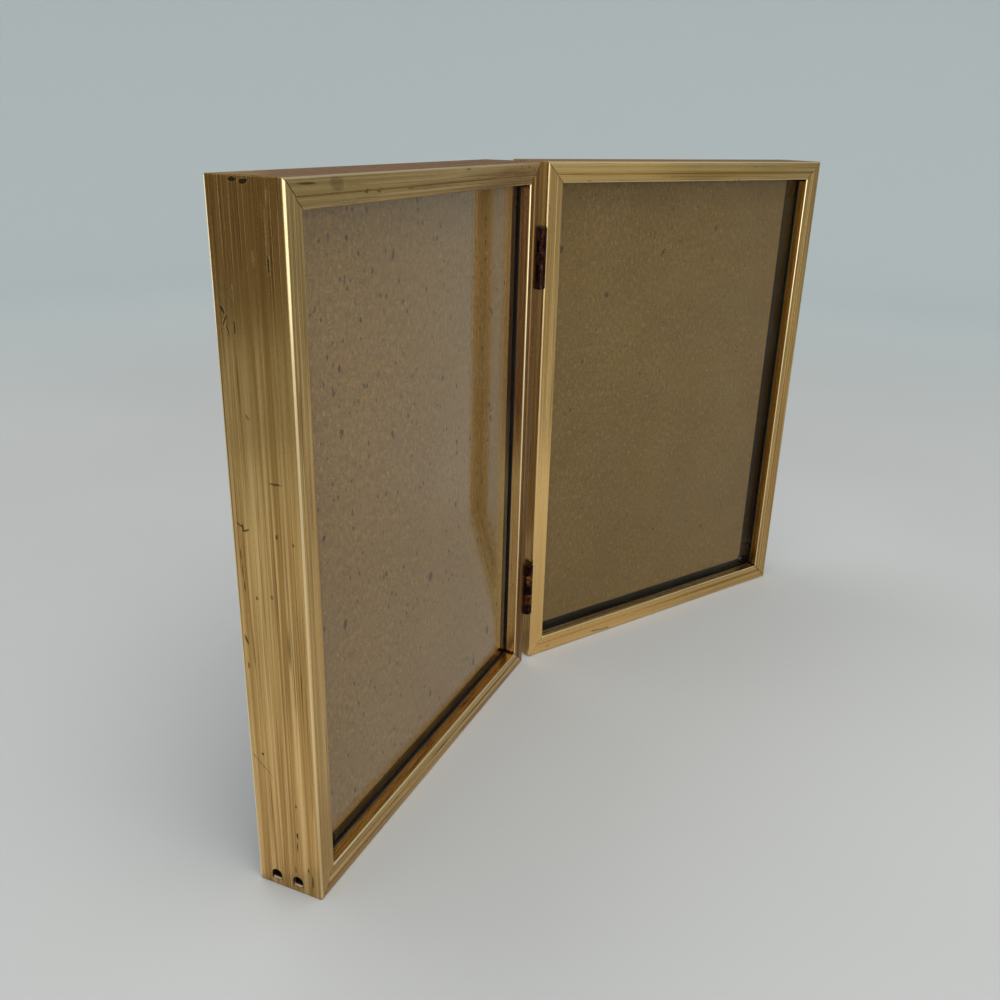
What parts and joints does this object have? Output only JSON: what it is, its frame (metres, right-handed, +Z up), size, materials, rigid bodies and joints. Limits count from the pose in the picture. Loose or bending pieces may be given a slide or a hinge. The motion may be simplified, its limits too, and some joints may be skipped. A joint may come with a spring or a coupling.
{
  "type": "hinged double photo frame",
  "caption": "Free-standing hinged double photo frame: deep mitred rails of folded gilt metal, glass, board backing, removable backs on turn clips, and pin hinges that fold like a book.",
  "frame": {"origin": "on the surface that the frames stand on, under the middle of the opened pair's bounding box", "axes": "+Z up, +X along the pair from the left frame to the right frame, -Y the way the glass looks"},
  "size_m": [0.316, 0.0634, 0.2079],
  "materials": {
    "gilt_sheet": "brushed antique gold, lengthwise grain, pitted and worn bright on the arrises",
    "key_metal": "bright strip, lightly tarnished",
    "clear_glass": "clear picture glass with light dust",
    "chipboard": "grey-brown chipboard with dark specks",
    "corrugated_board": "plain kraft corrugated board",
    "flocked_board": "black velvet-flocked board",
    "hinge_metal": "blackened brass, rubbed at the edges",
    "rivet_metal": "dull brass",
    "clip_steel": "spring steel, satin"
  },
  "bodies": {
    "left_frame": {"left_top_rail": "gilt_sheet", "left_bottom_rail": "gilt_sheet", "left_outer_rail": "gilt_sheet", "left_hinge_rail": "gilt_sheet", "left_key_top_outer": "key_metal", "left_key_top_hinge": "key_metal", "left_key_bottom_outer": "key_metal", "left_key_bottom_hinge": "key_metal", "left_glass": "clear_glass", "left_chipboard": "chipboard", "left_spacer_pad": "corrugated_board", "left_back_panel": "flocked_board", "left_clip_rivets": "rivet_metal", "left_hinge_rivets": "hinge_metal", "upper_hinge_left_leaf": "hinge_metal", "upper_hinge_pin": "hinge_metal", "lower_hinge_left_leaf": "hinge_metal", "lower_hinge_pin": "hinge_metal"},
    "left_clip_upper_outer": {"left_clip_upper_outer": "clip_steel"},
    "left_clip_upper_hinge": {"left_clip_upper_hinge": "clip_steel"},
    "left_clip_lower_outer": {"left_clip_lower_outer": "clip_steel"},
    "left_clip_lower_hinge": {"left_clip_lower_hinge": "clip_steel"},
    "right_frame": {"right_top_rail": "gilt_sheet", "right_bottom_rail": "gilt_sheet", "right_outer_rail": "gilt_sheet", "right_hinge_rail": "gilt_sheet", "right_key_top_outer": "key_metal", "right_key_top_hinge": "key_metal", "right_key_bottom_outer": "key_metal", "right_key_bottom_hinge": "key_metal", "right_glass": "clear_glass", "right_chipboard": "chipboard", "right_spacer_pad": "corrugated_board", "right_back_panel": "flocked_board", "right_clip_rivets": "rivet_metal", "right_hinge_rivets": "hinge_metal", "upper_hinge_right_leaf": "hinge_metal", "lower_hinge_right_leaf": "hinge_metal"},
    "right_clip_upper_outer": {"right_clip_upper_outer": "clip_steel"},
    "right_clip_upper_hinge": {"right_clip_upper_hinge": "clip_steel"},
    "right_clip_lower_outer": {"right_clip_lower_outer": "clip_steel"},
    "right_clip_lower_hinge": {"right_clip_lower_hinge": "clip_steel"}
  },
  "joints": [
    {"name": "book_fold", "type": "hinge", "parent": "left_frame", "child": "right_frame", "pos_m": [0, 0.01006, 0.10395], "axis": [0, 0, 1], "range_deg": [-148.9, 39.1]},
    {"name": "left_clip_upper_outer_turn", "type": "hinge", "parent": "left_frame", "child": "left_clip_upper_outer", "pos_m": [-0.1489, -0.00787, 0.1579], "axis": [-0.2681, 0.9634, 0], "continuous": true},
    {"name": "left_clip_upper_hinge_turn", "type": "hinge", "parent": "left_frame", "child": "left_clip_upper_hinge", "pos_m": [-0.01749, 0.0287, 0.1579], "axis": [-0.2681, 0.9634, 0], "continuous": true},
    {"name": "left_clip_lower_outer_turn", "type": "hinge", "parent": "left_frame", "child": "left_clip_lower_outer", "pos_m": [-0.1489, -0.00787, 0.05], "axis": [-0.2681, 0.9634, 0], "continuous": true},
    {"name": "left_clip_lower_hinge_turn", "type": "hinge", "parent": "left_frame", "child": "left_clip_lower_hinge", "pos_m": [-0.01749, 0.0287, 0.05], "axis": [-0.2681, 0.9634, 0], "continuous": true},
    {"name": "right_clip_upper_outer_turn", "type": "hinge", "parent": "right_frame", "child": "right_clip_upper_outer", "pos_m": [0.1489, -0.00787, 0.1579], "axis": [0.2681, 0.9634, 0], "continuous": true},
    {"name": "right_clip_upper_hinge_turn", "type": "hinge", "parent": "right_frame", "child": "right_clip_upper_hinge", "pos_m": [0.01749, 0.0287, 0.1579], "axis": [0.2681, 0.9634, 0], "continuous": true},
    {"name": "right_clip_lower_outer_turn", "type": "hinge", "parent": "right_frame", "child": "right_clip_lower_outer", "pos_m": [0.1489, -0.00787, 0.05], "axis": [0.2681, 0.9634, 0], "continuous": true},
    {"name": "right_clip_lower_hinge_turn", "type": "hinge", "parent": "right_frame", "child": "right_clip_lower_hinge", "pos_m": [0.01749, 0.0287, 0.05], "axis": [0.2681, 0.9634, 0], "continuous": true}
  ]
}
